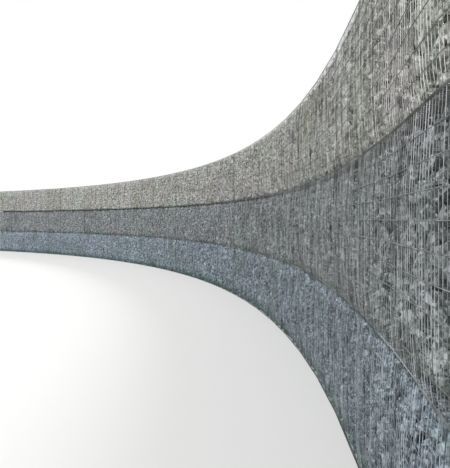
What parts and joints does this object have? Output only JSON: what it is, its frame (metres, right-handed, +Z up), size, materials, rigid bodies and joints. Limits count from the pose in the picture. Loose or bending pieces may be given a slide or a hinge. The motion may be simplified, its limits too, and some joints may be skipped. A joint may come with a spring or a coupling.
{
  "type": "curved gabion retaining wall",
  "caption": "Curved gabion wall of stacked wire mesh baskets filled with grey stone, with settled joints between its courses.",
  "frame": {"origin": "middle of the plan's bounding box, on the ground under the wall", "axes": "+X along the chord of the curve, -Y out of the hollow face that looks onto the path, +Z up"},
  "size_m": [29.3728, 5.3634, 3.006],
  "materials": {
    "stone": "matte",
    "galvanised_wire": "satin"
  },
  "bodies": {
    "root": {"bottom_stone_fill_1": "stone", "bottom_stone_fill_2": "stone", "bottom_stone_fill_3": "stone", "bottom_stone_fill_4": "stone", "bottom_stone_fill_5": "stone", "bottom_stone_fill_6": "stone", "middle_stone_fill_1": "stone", "middle_stone_fill_2": "stone", "middle_stone_fill_3": "stone", "middle_stone_fill_4": "stone", "middle_stone_fill_5": "stone", "middle_stone_fill_6": "stone", "top_stone_fill_1": "stone", "top_stone_fill_2": "stone", "top_stone_fill_3": "stone", "top_stone_fill_4": "stone", "top_stone_fill_5": "stone", "top_stone_fill_6": "stone", "front_mesh_1": "galvanised_wire", "front_mesh_2": "galvanised_wire", "front_mesh_3": "galvanised_wire", "front_mesh_4": "galvanised_wire", "front_mesh_5": "galvanised_wire", "front_mesh_6": "galvanised_wire", "back_mesh_1": "galvanised_wire", "back_mesh_2": "galvanised_wire", "back_mesh_3": "galvanised_wire", "back_mesh_4": "galvanised_wire", "back_mesh_5": "galvanised_wire", "back_mesh_6": "galvanised_wire", "base_mesh": "galvanised_wire", "bottom_lid_mesh": "galvanised_wire", "middle_lid_mesh": "galvanised_wire", "top_lid_mesh": "galvanised_wire", "bottom_cross_meshes": "galvanised_wire", "middle_cross_meshes": "galvanised_wire", "top_cross_meshes": "galvanised_wire", "left_end_mesh": "galvanised_wire", "right_end_mesh": "galvanised_wire"}
  },
  "joints": []
}
